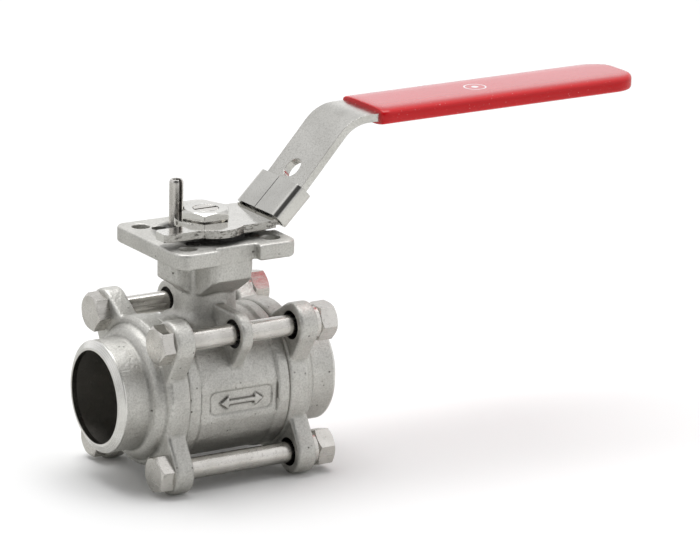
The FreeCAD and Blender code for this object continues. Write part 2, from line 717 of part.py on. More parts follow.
# ---------------------------------------------------------------- grip sleeve
def grip_sleeve():
    """Vinyl sleeve, dipped over the end of the lever."""
    thick = "(plate_thickness + 2 * grip_wall)"
    body, sketch = sketched("grip_outer", "XY_Plane", [
        ("0", "0 - grip_half"), ("grip_end - grip_start - grip_corner", "0 - grip_half"),
        ("grip_end - grip_start", "grip_corner - grip_half"),
        ("grip_end - grip_start", "grip_half - grip_corner"),
        ("grip_end - grip_start - grip_corner", "grip_half"), ("0", "grip_half")],
        {1: "0 - grip_corner", 3: "0 - grip_corner"})
    pad = body.newObject("PartDesign::Pad", "grip_pad")
    pad.Profile = sketch
    pad.Midplane = True
    bind(pad, Length=thick)
    soft = rounded("grip_soft", body, "grip_round", lambda edge, middle, way:
                   abs(middle.z) > 1 and middle.x > 1)
    soft.Placement.Rotation = FreeCAD.Rotation(Y_AXIS, -number("grip_rise"))
    put(soft, "grip_start", z=f"upper_top + (grip_start - upper_bend) * tan{RISE} - plate_thickness / 2")
    hollow = box("grip_hollow", ("0", "strip_end - grip_start + 0.4"),
                 ("0 - strip_half - 0.02", "strip_half + 0.02"),
                 ("0", "plate_thickness + 0.06"))
    hollow_soft = rounded("grip_hollow_soft", hollow, "strip_round", lambda edge, middle, way:
                          abs(way.z) > 0.9 and middle.x > 20)
    DOC.recompute()
    hollow_soft.Placement.Rotation = FreeCAD.Rotation(Y_AXIS, -number("grip_rise"))
    put(hollow_soft, "grip_start - 0.2",
        z=f"upper_top + (grip_start - upper_bend) * tan{RISE} - plate_thickness - 0.03")
    return node(cut("grip_sleeve", soft, hollow_soft), "grip_sleeve")


grip_sleeve()


# ---------------------------------------------------------------- lock slide
def on_slide(thing, along, across, above):
    """Lay a block as the slide lies: pitched about the middle of its length, inside the plate."""
    middle = "(slide_low + slide_length / 2)"
    slope = "cos((incline_angle - slide_pitch) * 1 deg)"
    climb = "sin((incline_angle - slide_pitch) * 1 deg)"
    thing.Placement.Rotation = FreeCAD.Rotation(Y_AXIS, number("slide_pitch") - number("incline_angle"))
    from_middle = f"(({along}) - {middle})"
    from_plate = f"(({above}) + plate_thickness / 2)"
    return put(thing, f"lower_bend + {middle} * cos{INCLINE} + plate_thickness / 2 * sin{INCLINE} + "
               f"{from_middle} * {slope} - {from_plate} * {climb}", across,
               f"lever_top + {middle} * sin{INCLINE} - plate_thickness / 2 * cos{INCLINE} + "
               f"{from_middle} * {climb} + {from_plate} * {slope}")


def runs_along(edge, middle, way):
    """Edges that run along the slide."""
    return abs(way.x) > 0.9


def lock_slide():
    """Folded sheet sleeve that slides on the lever's slope; its seam is on the upper face."""
    floor = "0 - plate_thickness - slide_gap"
    height = "plate_thickness + slide_gap + slide_headroom"
    shell = box("slide_block", ("0", "slide_length"), ("0", "2 * slide_half"),
                ("0", height + " + 2 * slide_wall"))
    soft = rounded("slide_soft", shell, "slide_round", runs_along)
    on_slide(soft, "slide_low", "0 - slide_half", floor + " - slide_wall")
    hollow = box("slide_hollow", ("0", "slide_length + 2"), ("0", "2 * slide_half - 2 * slide_wall"),
                 ("0", height))
    hollow_soft = rounded("slide_hollow_soft", hollow, "slide_round - slide_wall", runs_along)
    on_slide(hollow_soft, "slide_low - 1", "slide_wall - slide_half", floor)
    seam = box("slide_seam", ("0", "slide_length + 2"), ("0", "seam_width"), ("0", "slide_wall + 2"))
    on_slide(seam, "slide_low - 1", "seam_place", "slide_headroom - 0.5")
    tongue = box("slide_tongue", ("0", "tongue_length + 2"), ("0", "2 * tongue_half"), ("0", "slide_wall"))
    on_slide(tongue, "slide_low - tongue_length", "0 - tongue_half", floor + " - slide_wall")
    sleeve = cut("slide_sleeve", soft, fuse("slide_cuts", [hollow_soft, seam]))
    return node(fuse("lock_slide", [sleeve, tongue]), "lock_slide")


lock_slide()


# ---------------------------------------------------------------- fasteners
def hex_block(name, flats, height):
    """A hexagonal prism standing on the XY plane with a corner on +X."""
    prism = DOC.addObject("Part::Prism", name)
    prism.Polygon = 6
    return bind(prism, Circumradius=f"{flats} / sqrt(3)", Height=height)


def corner_cone(name, flats, height, top):
    """The cone that takes the corners off one end of a hexagon."""
    cone = DOC.addObject("Part::Cone", name)
    small = f"{flats} * 0.475"
    large = f"{flats} * 0.475 + {height} * 1.73"
    return bind(cone, Radius1=large if top else small, Radius2=small if top else large, Height=height)


def body_bolt(name):
    """Hexagon bolt: head below the XY plane's zero, shank along +Z."""
    head = common(name + "_head", hex_block(name + "_hex", "bolt_flats", "head_height"),
                  corner_cone(name + "_cone", "bolt_flats", "head_height", False))
    shank = turned(name + "_shank", "Z", [
        ("0", "head_height - 0.5"), ("bolt_radius", "head_height - 0.5"),
        ("bolt_radius", "head_height + flange_face + bolt_end - 1"),
        ("bolt_radius - 0.9", "head_height + flange_face + bolt_end"),
        ("0", "head_height + flange_face + bolt_end")])
    return fuse(name, [head, shank])


def hex_nut(name, flats, height, bore):
    """Plain hexagon nut with both ends chamfered."""
    prism = hex_block(name + "_hex", flats, height)
    lower = common(name + "_lower", prism, corner_cone(name + "_cone_low", flats, height, False))
    both = common(name + "_both", lower, corner_cone(name + "_cone_top", flats, height, True))
    return cut(name, both, rod(name + "_bore", bore, "0 - 1", f"{height} + 1"))


def spring_washer(name):
    """Split washer: a flat ring with a slanting cut."""
    flat = turned(name + "_flat", "Z", [
        ("bolt_radius + 0.1", "0"), ("washer_radius", "0"), ("washer_radius", "washer_thickness"),
        ("bolt_radius + 0.1", "washer_thickness")])
    slit = box(name + "_slit", ("2", "10"), ("0 - 0.4", "0.4"), ("0 - 3", "6"))
    slit.Placement.Rotation = FreeCAD.Rotation(X_AXIS, 25)
    return cut(name, flat, slit)


def four_of(label, first, start, turns):
    """Set a fastener on each of the four bolt axes, each at its own turn."""
    copies = []
    corners = ((-1, -1), (-1, 1), (1, -1), (1, 1))
    for index, ((sy, sz), turn) in enumerate(zip(corners, turns)):
        copy = DOC.addObject("Part::Compound", f"{label}_{index}")
        copy.Links = [first]
        lay_down = FreeCAD.Rotation(Y_AXIS, 90)
        copy.Placement.Rotation = FreeCAD.Rotation(X_AXIS, turn).multiply(lay_down)
        put(copy, start, f"{sy} * bolt_offset", f"{sz} * bolt_offset")
        copies.append(copy)
    group = DOC.addObject("Part::Compound", label)
    group.Links = copies
    return node(group, label)


four_of("body_bolts", body_bolt("bolt"), "0 - flange_face - head_height", (-107, 102, 95, 101))
four_of("spring_washers", spring_washer("washer"), "flange_face", (40, 200, 120, 300))
four_of("bolt_nuts", hex_nut("nut", "bolt_flats", "nut_height", "bolt_radius + 0.02"),
        "flange_face + washer_thickness", (75, 96, 88, 79))

ring("stem_washer", "Z", "thread_radius + 0.1", "stem_washer_radius",
     "lever_top", "lever_top + stem_washer_height")


def stem_nut():
    """Thin hexagon nut, chamfered on top only."""
    crown = common("stem_nut_crown", hex_block("stem_nut_hex", "stem_nut_flats", "stem_nut_height"),
                   corner_cone("stem_nut_cone", "stem_nut_flats", "stem_nut_height", True))
    bored = cut("stem_nut", crown,
                rod("stem_nut_bore", "thread_radius + 0.02", "0 - 1", "stem_nut_height + 1"))
    bored.Placement.Rotation = FreeCAD.Rotation(Z_AXIS, -number("stem_nut_turn"))
    return node(put(bored, z="lever_top + stem_washer_height"), "stem_nut")


stem_nut()


# ---------------------------------------------------------------- check and write
DOC.recompute()
for thing in DOC.Objects:
    if "Invalid" in thing.State or "Error" in thing.State:
        raise SystemExit(f"{thing.Label} failed: {thing.State}")
os.makedirs("parts", exist_ok=True)
for piece in NODES:
    if piece.Shape.isNull() or not piece.Shape.isValid():
        raise SystemExit(f"{piece.Label} has no valid shape")
for piece in NODES:
    piece.Shape.exportStep(f"parts/{piece.Label}.step")
    solids = len(piece.Shape.Solids)
    print(f"{piece.Label}: {solids} solid(s), {piece.Shape.Volume:.1f} mm3")
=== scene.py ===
"""Looks of the ball valve: finishes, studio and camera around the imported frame. Metres."""

import math

import bmesh
import bpy
import numpy as np
from mathutils import Matrix, Vector


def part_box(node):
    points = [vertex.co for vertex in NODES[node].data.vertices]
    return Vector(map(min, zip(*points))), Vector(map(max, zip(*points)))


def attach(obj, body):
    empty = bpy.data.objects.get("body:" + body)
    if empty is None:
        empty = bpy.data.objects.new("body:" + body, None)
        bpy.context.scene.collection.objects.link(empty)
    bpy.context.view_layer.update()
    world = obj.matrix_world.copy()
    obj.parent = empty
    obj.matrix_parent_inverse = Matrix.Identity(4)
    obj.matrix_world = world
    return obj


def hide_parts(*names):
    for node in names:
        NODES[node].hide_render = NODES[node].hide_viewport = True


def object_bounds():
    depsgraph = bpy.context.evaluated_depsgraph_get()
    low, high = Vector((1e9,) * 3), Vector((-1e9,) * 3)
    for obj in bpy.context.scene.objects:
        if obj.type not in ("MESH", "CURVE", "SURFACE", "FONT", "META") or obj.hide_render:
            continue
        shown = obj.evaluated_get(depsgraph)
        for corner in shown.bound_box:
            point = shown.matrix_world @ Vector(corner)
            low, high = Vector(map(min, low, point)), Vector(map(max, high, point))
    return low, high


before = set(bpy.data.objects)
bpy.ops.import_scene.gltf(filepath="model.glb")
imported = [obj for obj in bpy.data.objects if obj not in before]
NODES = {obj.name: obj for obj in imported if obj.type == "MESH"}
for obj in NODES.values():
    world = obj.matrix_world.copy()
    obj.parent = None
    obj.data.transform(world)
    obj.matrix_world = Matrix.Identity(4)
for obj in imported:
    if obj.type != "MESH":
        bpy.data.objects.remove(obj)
CAD_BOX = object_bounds()
MM = 0.001

# ---------------------------------------------------------------- camera
TARGET = Vector((0.064162, 0.0, 0.030388))
AZIMUTH = math.radians(-32.335)
ELEVATION = math.radians(15.96)
ROLL = math.radians(1.264)
DISTANCE = 1.58276
LENS = 213.0
SENSOR_WIDTH = 36.0
CLIP_NEAR = 0.05
CLIP_FAR = 50.0


def make_camera():
    back = Vector((math.sin(AZIMUTH) * math.cos(ELEVATION), -math.cos(AZIMUTH) * math.cos(ELEVATION),
                   math.sin(ELEVATION)))
    level = Vector((math.cos(AZIMUTH), math.sin(AZIMUTH), 0.0))
    upright = back.cross(level)
    right = level * math.cos(ROLL) + upright * math.sin(ROLL)
    up = upright * math.cos(ROLL) - level * math.sin(ROLL)
    data = bpy.data.cameras.new("camera")
    data.lens = LENS
    data.sensor_width = SENSOR_WIDTH
    data.clip_start = CLIP_NEAR
    data.clip_end = CLIP_FAR
    camera = bpy.data.objects.new("camera", data)
    spot = TARGET + back * DISTANCE
    camera.matrix_world = Matrix((
        (right.x, up.x, back.x, spot.x), (right.y, up.y, back.y, spot.y),
        (right.z, up.z, back.z, spot.z), (0, 0, 0, 1)))
    bpy.context.scene.collection.objects.link(camera)
    bpy.context.scene.camera = camera


# ---------------------------------------------------------------- studio
LIGHT_AIM = Vector((0.02, 0.0, 0.03))
LIGHT_SIZE = (1.4, 1.0)
SIDE_LIGHT = (-1.6, 0.2, 0.9)
SIDE_WATTS = 1
TOP_LIGHT = (0.1, 0.3, 1.6)
TOP_WATTS = 15
FLOOR_REACH = 6.0
FLOOR_PALE = (0.95, 0.95, 0.95, 1)
FLOOR_FRONT_IN_METAL = (0.80, 0.80, 0.78, 1)
FLOOR_BACK_IN_METAL = (0.58, 0.58, 0.56, 1)
FLOOR_CHANGE = (-0.1, 0.1)
TENT_LOW = 0.68
TENT_TOP = 1.0
WALL_SIDE = (0.5, 0.85, 0.0)
WALL_GLOW = 0.38
PANEL_SIDE = (0.6, -0.7, 0.3)
PANEL_GLOW = 0.2
CAMERA_SIDE = (-0.42, -0.62, 0.62)
CAMERA_DARK = 0.10
UP = (0, 0, 1)


def make_light(name, place, power):
    data = bpy.data.lights.new(name, "AREA")
    data.shape = "RECTANGLE"
    data.size, data.size_y = LIGHT_SIZE
    data.energy = power
    light = bpy.data.objects.new(name, data)
    light.location = place
    light.rotation_euler = (LIGHT_AIM - Vector(place)).to_track_quat("-Z", "Y").to_euler()
    bpy.context.scene.collection.objects.link(light)


def make_floor():
    """A pale floor that stays light to the eye; in the metal's reflections it is painted greyer, lighter in
    front than behind.
    """
    low = CAD_BOX[0][2]
    corners = [(-FLOOR_REACH, -FLOOR_REACH, low), (FLOOR_REACH, -FLOOR_REACH, low),
               (FLOOR_REACH, FLOOR_REACH, low), (-FLOOR_REACH, FLOOR_REACH, low)]
    mesh = bpy.data.meshes.new("floor")
    mesh.from_pydata(corners, [], [(0, 1, 2, 3)])
    floor = bpy.data.objects.new("floor", mesh)
    bpy.context.scene.collection.objects.link(floor)
    pale = Finish("floor_pale", Roughness=0.9)
    glossy = pale.node("LightPath").outputs["Is Glossy Ray"]
    _, depth, _ = pale.place_parts()
    # painted reflection: the floor seen in the metal is greyer, and lighter in front than behind
    metal = pale.blend(pale.spread(depth, *FLOOR_CHANGE), FLOOR_FRONT_IN_METAL, FLOOR_BACK_IN_METAL)
    pale.set(Base_Color=pale.blend(glossy, FLOOR_PALE, metal))
    mesh.materials.append(pale.material)


def make_world():
    """A light tent: a glowing wall low behind, a soft panel at the right, a dark patch over the camera."""
    world = bpy.data.worlds.new("studio")
    bpy.context.scene.world = world
    world.use_nodes = True
    tree = world.node_tree
    way = tree.nodes.new("ShaderNodeTexCoord").outputs["Generated"]

    def combine(operation, first, second):
        made = tree.nodes.new("ShaderNodeMath")
        made.operation = operation
        tree.links.new(first, made.inputs[0])
        tree.links.new(second, made.inputs[1])
        return made.outputs[0]

    def toward(direction, low, high, to_low, to_high):
        dot = tree.nodes.new("ShaderNodeVectorMath")
        dot.operation = "DOT_PRODUCT"
        tree.links.new(way, dot.inputs[0])
        dot.inputs[1].default_value = Vector(direction).normalized()
        ramp = tree.nodes.new("ShaderNodeMapRange")
        ramp.interpolation_type = "SMOOTHSTEP"
        tree.links.new(dot.outputs["Value"], ramp.inputs["Value"])
        for name, value in (("From Min", low), ("From Max", high), ("To Min", to_low), ("To Max", to_high)):
            ramp.inputs[name].default_value = value
        return ramp.outputs[0]

    level = toward(UP, 0.3, 0.95, TENT_LOW, TENT_TOP)
    wall = combine("MULTIPLY", toward(WALL_SIDE, 0.25, 0.85, 0.0, WALL_GLOW),
                   toward(UP, 0.30, 0.48, 1.0, 0.0))
    level = combine("ADD", level, wall)
    level = combine("ADD", level, toward(PANEL_SIDE, 0.7, 0.95, 0.0, PANEL_GLOW))
    level = combine("MULTIPLY", level, toward(CAMERA_SIDE, 0.60, 0.92, 1.0, CAMERA_DARK))
    background = tree.nodes["Background"]
    tree.links.new(level, background.inputs["Strength"])
    background.inputs["Color"].default_value = (1.0, 1.0, 1.0, 1)


def make_studio():
    make_floor()
    make_world()
    make_light("side", SIDE_LIGHT, SIDE_WATTS)
    make_light("top", TOP_LIGHT, TOP_WATTS)
    bpy.context.scene.view_settings.view_transform = "Standard"


# ---------------------------------------------------------------- sizes of the valve
BORE_RADIUS = 17.55 * MM
TUBE_RADIUS = 21.2 * MM
PIPE_END = 46.8 * MM
WELD_CUT = 44.6 * MM
JOINT = 21.55 * MM
BOLT_OFFSET = 24.8 * MM
LUG_HOLE_RADIUS = 5.2 * MM
PAD_HOLES = ((17.68 * MM, 3.5 * MM), (12.73 * MM, 2.75 * MM))
PAD_HOLES_START = 50.0 * MM
PAD_FACE = 57.7 * MM
PANEL_REACH = 16.5 * MM
PANEL_HALF_HEIGHT = 7.0 * MM
PANEL_DEPTH = -24.0 * MM
LEVER_BASE_TOP = 64.0 * MM
GRIP_CORNER = 11.0 * MM
GRIP_RISE = math.radians(0.45)
MARK_PLACE = 119.0 * MM
MARK_RADIUS = 4.2 * MM
MARK_DOT = 1.3 * MM
MARK_LEVEL = 97.5 * MM


# ---------------------------------------------------------------- finishes
class Finish:
    """A node material on the part's own coordinates."""

    def __init__(self, name, **values):
        self.material = bpy.data.materials.new(name)
        self.material.use_nodes = True
        self.tree = self.material.node_tree
        self.shader = self.tree.nodes["Principled BSDF"]
        for socket, value in values.items():
            self.shader.inputs[socket.replace("_", " ")].default_value = value
        self.place = self.tree.nodes.new("ShaderNodeTexCoord").outputs["Object"]

    def node(self, kind, settings=None, **inputs):
        made = self.tree.nodes.new("ShaderNode" + kind)
        for name, value in (settings or {}).items():
            setattr(made, name, value)
        for name, value in inputs.items():
            self.feed(made.inputs[name.replace("_", " ")], value)
        return made

    def feed(self, socket, value):
        if isinstance(value, bpy.types.NodeSocket):
            self.tree.links.new(value, socket)
        else:
            socket.default_value = value

    def math(self, operation, first, second=0.0, third=0.0):
        made = self.node("Math", {"operation": operation})
        for socket, value in zip(made.inputs, (first, second, third)):
            self.feed(socket, value)
        return made.outputs[0]

    def length(self, first, second):
        """The length of a vector's two parts."""
        square = self.math("MULTIPLY_ADD", first, first, self.math("MULTIPLY", second, second))
        return self.math("SQRT", square)

    def place_parts(self):
        return self.node("SeparateXYZ", Vector=self.place).outputs

    def facing_parts(self):
        facing = self.node("NewGeometry").outputs["True Normal"]
        return self.node("SeparateXYZ", Vector=facing).outputs

    def noise(self, scale, detail=2.0, roughness=0.5, stretch=None):
        place = self.place
        if stretch:
            place = self.node("Mapping", Vector=self.place, Scale=stretch).outputs[0]
        return self.node("TexNoise", Vector=place, Scale=scale, Detail=detail,
                         Roughness=roughness).outputs["Fac"]

    def spread(self, value, low, high, to_low=0.0, to_high=1.0):
        return self.node("MapRange", Value=value, From_Min=low, From_Max=high, To_Min=to_low,
                         To_Max=to_high).outputs[0]

    def blend(self, factor, first, second):
        made = self.node("Mix", {"data_type": "RGBA"})
        self.feed(made.inputs["Factor"], factor)
        self.feed(made.inputs["A"], first)
        self.feed(made.inputs["B"], second)
        return [output for output in made.outputs if output.type == "RGBA"][0]

    def bump(self, height, strength, distance, normal=None):
        made = self.node("Bump", Height=height, Strength=strength, Distance=distance)
        if normal is not None:
            self.feed(made.inputs["Normal"], normal)
        return made.outputs[0]

    def set(self, **inputs):
        for name, value in inputs.items():
            self.feed(self.shader.inputs[name.replace("_", " ")], value)

    def soft_edges(self, radius):
        return self.node("Bevel", {"samples": 4}, Radius=radius).outputs[0]


ROLLED = (0.2, 1.0, 1.0)
CAST_DARK = (0.58, 0.572, 0.545, 1)
CAST_PALE = (0.73, 0.722, 0.69, 1)
CAST_SPECK = (0.30, 0.29, 0.27, 1)
CAST_CREVICE_SHADE = (0.12, 0.115, 0.10, 1)
CAST_WORN_HIGHLIGHT = (0.80, 0.79, 0.76, 1)
CAST_PIT = (0.10, 0.09, 0.08, 1)
CAST_BORE_SHADE = (0.24, 0.23, 0.21, 1)
CAST_HOLE_SHADE = (0.05, 0.048, 0.045, 1)
CAST_WELL_SHADE = (0.035, 0.033, 0.03, 1)
TURNED_DARK = (0.66, 0.65, 0.62, 1)
TURNED_PALE = (0.84, 0.83, 0.81, 1)
TURNED_BORE_SHADE = (0.26, 0.25, 0.23, 1)
POLISHED = (0.72, 0.71, 0.68)
POLISHED_SPECK = (0.36, 0.35, 0.33, 1)
LEVER_DARK = (0.60, 0.59, 0.56, 1)
LEVER_PALE = (0.74, 0.73, 0.70, 1)
LEVER_SPECK = (0.34, 0.33, 0.31, 1)
LEVER_UNDER_SHADE = (0.06, 0.055, 0.05, 1)
LEVER_CUT = (0.30, 0.29, 0.27, 1)
LEVER_TORN = (0.05, 0.045, 0.04, 1)
BRIGHT_DARK = (0.56, 0.54, 0.51, 1)
BRIGHT_PALE = (0.72, 0.70, 0.67, 1)
BRIGHT_DENT = (0.30, 0.29, 0.27, 1)
VINYL_DARK = (0.58, 0.002, 0.006, 1)
VINYL_PALE = (0.64, 0.003, 0.009, 1)
VINYL_DUST = (0.75, 0.45, 0.42, 1)
VINYL_PRINT = (0.85, 0.84, 0.82, 1)
VINYL_GLOSS = (0.90, 0.95, 1.0, 1)
PTFE = (0.85, 0.85, 0.82, 1)
RUBBER = (0.02, 0.02, 0.02, 1)


def bolt_hole_shade(finish):
    """1 on the walls of the four bolt holes, which are painted dark as shade."""
    _, depth, height = finish.place_parts()
    across = finish.math("SUBTRACT", finish.math("ABSOLUTE", depth), BOLT_OFFSET)
    above = finish.math("SUBTRACT", finish.math("ABSOLUTE", height), BOLT_OFFSET)
    return finish.spread(finish.length(across, above), 5.3 * MM, 5.6 * MM, 1.0, 0.0)


def stem_well_shade(finish):
    """Near 1 on the pad's face round the stem, under the lever, where shade is painted."""
    along, depth, height = finish.place_parts()
    close = finish.spread(finish.length(along, depth), 17.0 * MM, 20.5 * MM, 1.0, 0.0)
    high = finish.spread(height, PAD_FACE - 2.7 * MM, PAD_FACE - 0.7 * MM, 0.0, 0.92)
    return finish.math("MULTIPLY", close, high)


def cast_steel():
    """Blasted casting: fine grain, cloudy tone, painted shade in the corners, edges lightened as wear and
    as a painted highlight, and a few pits.
    """
    finish = Finish("cast_stainless", Metallic=1.0)
    grain = finish.noise(1500, 3, 0.7)
    coarse = finish.noise(900, 3, 0.6)
    lumps = finish.noise(230, 3, 0.55)
    cloud = finish.noise(45, 3, 0.6)
    tone = finish.blend(finish.spread(cloud, 0.3, 0.7), CAST_DARK, CAST_PALE)
    tone = finish.blend(finish.spread(grain, 0.42, 0.66, 0.0, 0.40), tone, CAST_SPECK)
    point = finish.node("NewGeometry").outputs["Pointiness"]
    # painted shade: darker where the surface is hollow, in creases and corners
    tone = finish.blend(finish.spread(point, 0.45, 0.497, 0.85, 0.0), tone, CAST_CREVICE_SHADE)
    # lighter on sharp outer edges: partly wear, partly a painted highlight
    tone = finish.blend(finish.spread(point, 0.52, 0.60, 0.0, 0.8), tone, CAST_WORN_HIGHLIGHT)
    pits = finish.node("TexVoronoi", Vector=finish.place, Scale=420.0).outputs["Distance"]
    rare = finish.spread(finish.noise(120, 1, 0.5), 0.60, 0.64)
    pit = finish.math("MULTIPLY", finish.spread(pits, 0.10, 0.20, 1.0, 0.0), rare)
    tone = finish.blend(finish.math("MULTIPLY", pit, 0.7), tone, CAST_PIT)
    _, depth, height = finish.place_parts()
    # painted shade: the bore's walls are darkened
    bore_shade = finish.spread(finish.length(depth, height), BORE_RADIUS + 0.15 * MM, BORE_RADIUS + 0.35 * MM,
                           1.0, 0.0)
    tone = finish.blend(bore_shade, tone, CAST_BORE_SHADE)
    # painted shade on the walls of the bolt holes
    tone = finish.blend(bolt_hole_shade(finish), tone, CAST_HOLE_SHADE)
    # painted shade on the pad's face round the stem, under the lever
    tone = finish.blend(stem_well_shade(finish), tone, CAST_WELL_SHADE)
    rough = finish.spread(lumps, 0.3, 0.7, 0.42, 0.58)
    relief = finish.math("MULTIPLY_ADD", lumps, 2.6, finish.math("MULTIPLY_ADD", coarse, 1.6, grain))
    relief = finish.math("MULTIPLY_ADD", pit, -2.5, relief)
    finish.set(Base_Color=tone, Roughness=rough, Normal=finish.bump(relief, 0.9, 0.14 * MM))
    return finish.material


def turned_steel():
    """Freshly turned metal, with fine rings round the pipe's axis; the bore behind it is darkened as
    painted shade.
    """
    finish = Finish("turned_stainless", Metallic=1.0)
    along, depth, height = finish.place_parts()
    radius = finish.length(depth, height)
    rings = finish.node("TexNoise", {"noise_dimensions": "1D"}, Scale=9000.0, Detail=2.0,
                        W=finish.math("ADD", radius, finish.math("ABSOLUTE", along))).outputs["Fac"]
    cloud = finish.noise(120, 2, 0.5)
    tone = finish.blend(finish.spread(cloud, 0.3, 0.7), TURNED_DARK, TURNED_PALE)
    # painted shade: the bore's wall is darkened
    bore = finish.spread(radius, BORE_RADIUS + 0.05 * MM, BORE_RADIUS + 0.2 * MM, 1.0, 0.0)
    tone = finish.blend(bore, tone, TURNED_BORE_SHADE)
    finish.set(Base_Color=tone, Roughness=finish.spread(rings, 0.3, 0.7, 0.20, 0.34),
               Normal=finish.bump(rings, 0.25, 0.02 * MM, finish.soft_edges(0.15 * MM)))
    return finish.material


def polished_steel():
    """Buffed metal with a slight waviness and faint streaks."""
    finish = Finish("polished_stainless", Metallic=1.0)
    streaks = finish.noise(500, 3, 0.6, ROLLED)
    wave = finish.noise(70, 2, 0.5)
    speck = finish.noise(1800, 2, 0.6)
    shade = tuple(part * 0.84 for part in POLISHED)
    tone = finish.blend(finish.spread(wave, 0.3, 0.7), (*shade, 1), (*POLISHED, 1))
    tone = finish.blend(finish.spread(speck, 0.5, 0.7, 0.0, 0.3), tone, POLISHED_SPECK)
    relief = finish.math("MULTIPLY_ADD", wave, 3.0, finish.math("MULTIPLY", streaks, 0.5))
    finish.set(Base_Color=tone, Roughness=finish.spread(streaks, 0.3, 0.7, 0.05, 0.12),
               Normal=finish.bump(relief, 0.25, 0.05 * MM, finish.soft_edges(0.35 * MM)))
    return finish.material


def lever_steel():
    """Bright round the stem, satin up the slope, with a torn dark edge where the blank was sheared."""
    finish = Finish("lever_stainless", Metallic=1.0)
    _, _, height = finish.place_parts()
    satin = finish.spread(height, LEVER_BASE_TOP, LEVER_BASE_TOP + 2.5 * MM)
    base = finish.math("SUBTRACT", 1.0, satin)
    streaks = finish.noise(500, 3, 0.6, ROLLED)
    wave = finish.noise(60, 2, 0.5)
    speck = finish.noise(1700, 2, 0.6)
    tone = finish.blend(finish.spread(wave, 0.3, 0.7), LEVER_DARK, LEVER_PALE)
    tone = finish.blend(finish.spread(speck, 0.45, 0.7, 0.0, 0.45), tone, LEVER_SPECK)
    _, sideways, upward = finish.facing_parts()
    cut = finish.math("MULTIPLY", finish.spread(finish.math("ABSOLUTE", sideways), 0.4, 0.7), base)
    # painted shade on the downward-facing faces of the lever's base
    under = finish.math("MULTIPLY", finish.spread(upward, -0.9, -0.6, 0.85, 0.0), base)
    tone = finish.blend(under, tone, LEVER_UNDER_SHADE)
    torn = finish.noise(900, 3, 0.7, (0.5, 1.0, 1.6))
    patches = finish.spread(finish.noise(260, 1, 0.5), 0.46, 0.56, 0.25, 1.0)
    tone = finish.blend(finish.math("MULTIPLY", cut, 0.55), tone, LEVER_CUT)
    broken = finish.math("MULTIPLY", finish.math("MULTIPLY", cut, patches),
                         finish.spread(torn, 0.46, 0.60, 0.0, 0.85))
    tone = finish.blend(broken, tone, LEVER_TORN)
    rough = finish.math("MULTIPLY_ADD", satin, 0.13, finish.spread(streaks, 0.3, 0.7, 0.06, 0.14))
    rough = finish.math("MULTIPLY_ADD", cut, 0.12, rough)
    relief = finish.math("MULTIPLY_ADD", wave, 3.0, finish.math("MULTIPLY", streaks, 0.6))
    relief = finish.math("MULTIPLY_ADD", finish.math("MULTIPLY", cut, torn), 2.5, relief)
    finish.set(Base_Color=tone, Roughness=rough,
               Normal=finish.bump(relief, 0.25, 0.06 * MM, finish.soft_edges(0.35 * MM)))
    return finish.material


def bright_steel(name, rough_low, rough_high):
    """Cold-formed fasteners: bright, with rolling marks, small dents and dark specks."""
    finish = Finish(name, Metallic=1.0)
    marks = finish.noise(300, 3, 0.6, ROLLED)
    dents = finish.noise(700, 3, 0.6)
    cloud = finish.noise(90, 2, 0.5)
    tone = finish.blend(finish.spread(cloud, 0.3, 0.7), BRIGHT_DARK, BRIGHT_PALE)
    tone = finish.blend(finish.spread(dents, 0.55, 0.72, 0.0, 0.35), tone, BRIGHT_DENT)
    relief = finish.math("MULTIPLY_ADD", dents, 1.5, marks)
    finish.set(Base_Color=tone, Roughness=finish.spread(marks, 0.3, 0.7, rough_low, rough_high),
               Normal=finish.bump(relief, 0.25, 0.05 * MM, finish.soft_edges(0.15 * MM)))
    return finish.material


def printed_mark(finish):
    """1 on the ring and dot printed on the grip's upper face."""
    along, depth, height = finish.place_parts()
    away = finish.length(finish.math("SUBTRACT", along, MARK_PLACE), depth)
    ring = finish.spread(finish.math("ABSOLUTE", finish.math("SUBTRACT", away, MARK_RADIUS)),
                         0.20 * MM, 0.35 * MM, 1.0, 0.0)
    dot = finish.spread(away, MARK_DOT, MARK_DOT + 0.2 * MM, 1.0, 0.0)
    top = finish.spread(height, MARK_LEVEL, MARK_LEVEL + 0.3 * MM)
    return finish.math("MULTIPLY", finish.math("MAXIMUM", ring, dot), top)


def red_vinyl():
    """Dipped vinyl with a wet gloss on top, a faint orange peel, dust and a printed ring."""
    finish = Finish("red_vinyl", IOR=1.42, Coat_Roughness=0.08, Coat_Tint=VINYL_GLOSS)
    peel = finish.noise(450, 2, 0.5)
    cloud = finish.noise(30, 2, 0.5)
    dust = finish.noise(1500, 1, 0.5)
    tone = finish.blend(finish.spread(cloud, 0.3, 0.7), VINYL_DARK, VINYL_PALE)
    tone = finish.blend(finish.spread(dust, 0.74, 0.78), tone, VINYL_DUST)
    tone = finish.blend(printed_mark(finish), tone, VINYL_PRINT)
    _, _, upward = finish.facing_parts()
    finish.set(Base_Color=tone, Roughness=finish.spread(peel, 0.3, 0.7, 0.13, 0.2),
               Coat_Weight=finish.spread(upward, 0.96, 0.999, 0.0, 0.65),
               Normal=finish.bump(peel, 0.10, 0.03 * MM))
    return finish.material


def plain_part(name, colour, rough):
    """An even moulded or cut part with a fine mottle."""
    finish = Finish(name)
    fine = finish.noise(700, 2, 0.5)
    dark = tuple(part * 0.9 for part in colour[:3])
    finish.set(Base_Color=finish.blend(fine, (*dark, 1), colour),
               Roughness=finish.spread(fine, 0.3, 0.7, rough, rough + 0.1),
               Normal=finish.bump(fine, 0.1, 0.03 * MM))
    return finish.material


# ---------------------------------------------------------------- castings
CAST_GRAIN = 0.5 * MM
SMOOTHING_ROUNDS = 3
FIRM_STEPS = 10


